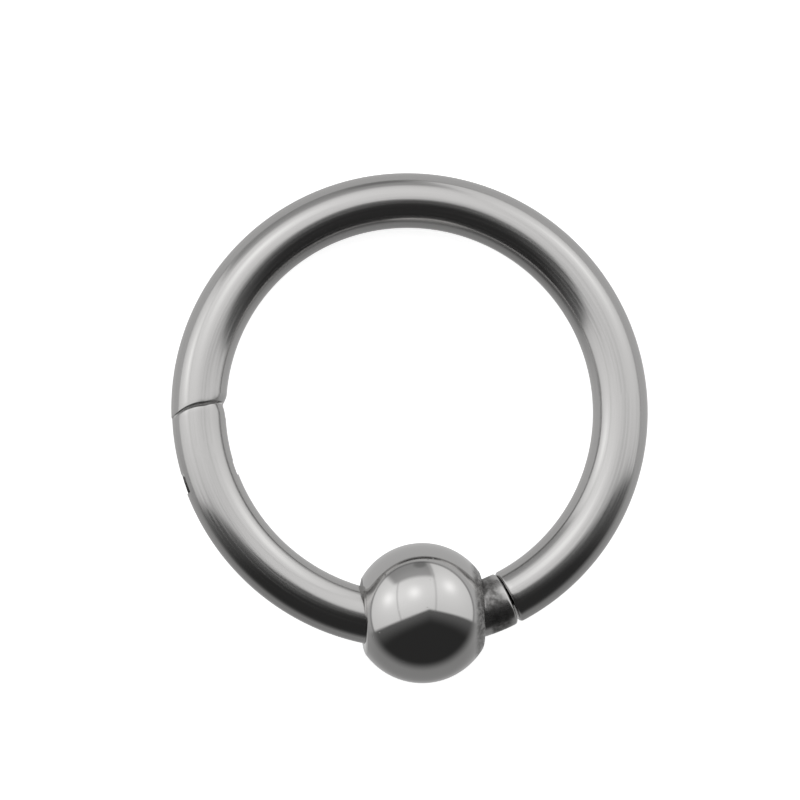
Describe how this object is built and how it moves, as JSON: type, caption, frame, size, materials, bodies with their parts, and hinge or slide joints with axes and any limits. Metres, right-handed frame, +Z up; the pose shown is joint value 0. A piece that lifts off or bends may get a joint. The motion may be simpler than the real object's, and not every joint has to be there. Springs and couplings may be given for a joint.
{
  "type": "hinged captive bead ring",
  "caption": "Round-wire body jewellery ring with a hinged gate that carries a captive ball bead; a click nub at the gate's free end closes it.",
  "frame": {"origin": "on the surface the ring lies on, under the middle of its box", "axes": "+Z up; the ring lies on its side, leaning 6 degrees, with the bead towards -Y and the plain wire opposite towards +Y; the hinge is at -X"},
  "size_m": [0.0104, 0.0112, 0.003],
  "materials": {
    "polished_wire": "mirror-polished surgical stainless steel with faint polishing lines along the wire",
    "polished_bead": "mirror-polished surgical stainless steel ball with faint turning lines round its flats",
    "ground_pin": "stainless steel pin, ends ground flush and polished with the wire"
  },
  "bodies": {
    "ring": {"ring_body": "polished_wire"},
    "gate": {"gate_arc": "polished_wire", "bead": "polished_bead", "hinge_pin": "ground_pin"}
  },
  "joints": [
    {"name": "gate_hinge", "type": "hinge", "parent": "ring", "child": "gate", "pos_m": [-0.00454, -0.00034, 0.00115], "axis": [0, -0.1023, -0.9948], "range_deg": [0, 100]}
  ]
}
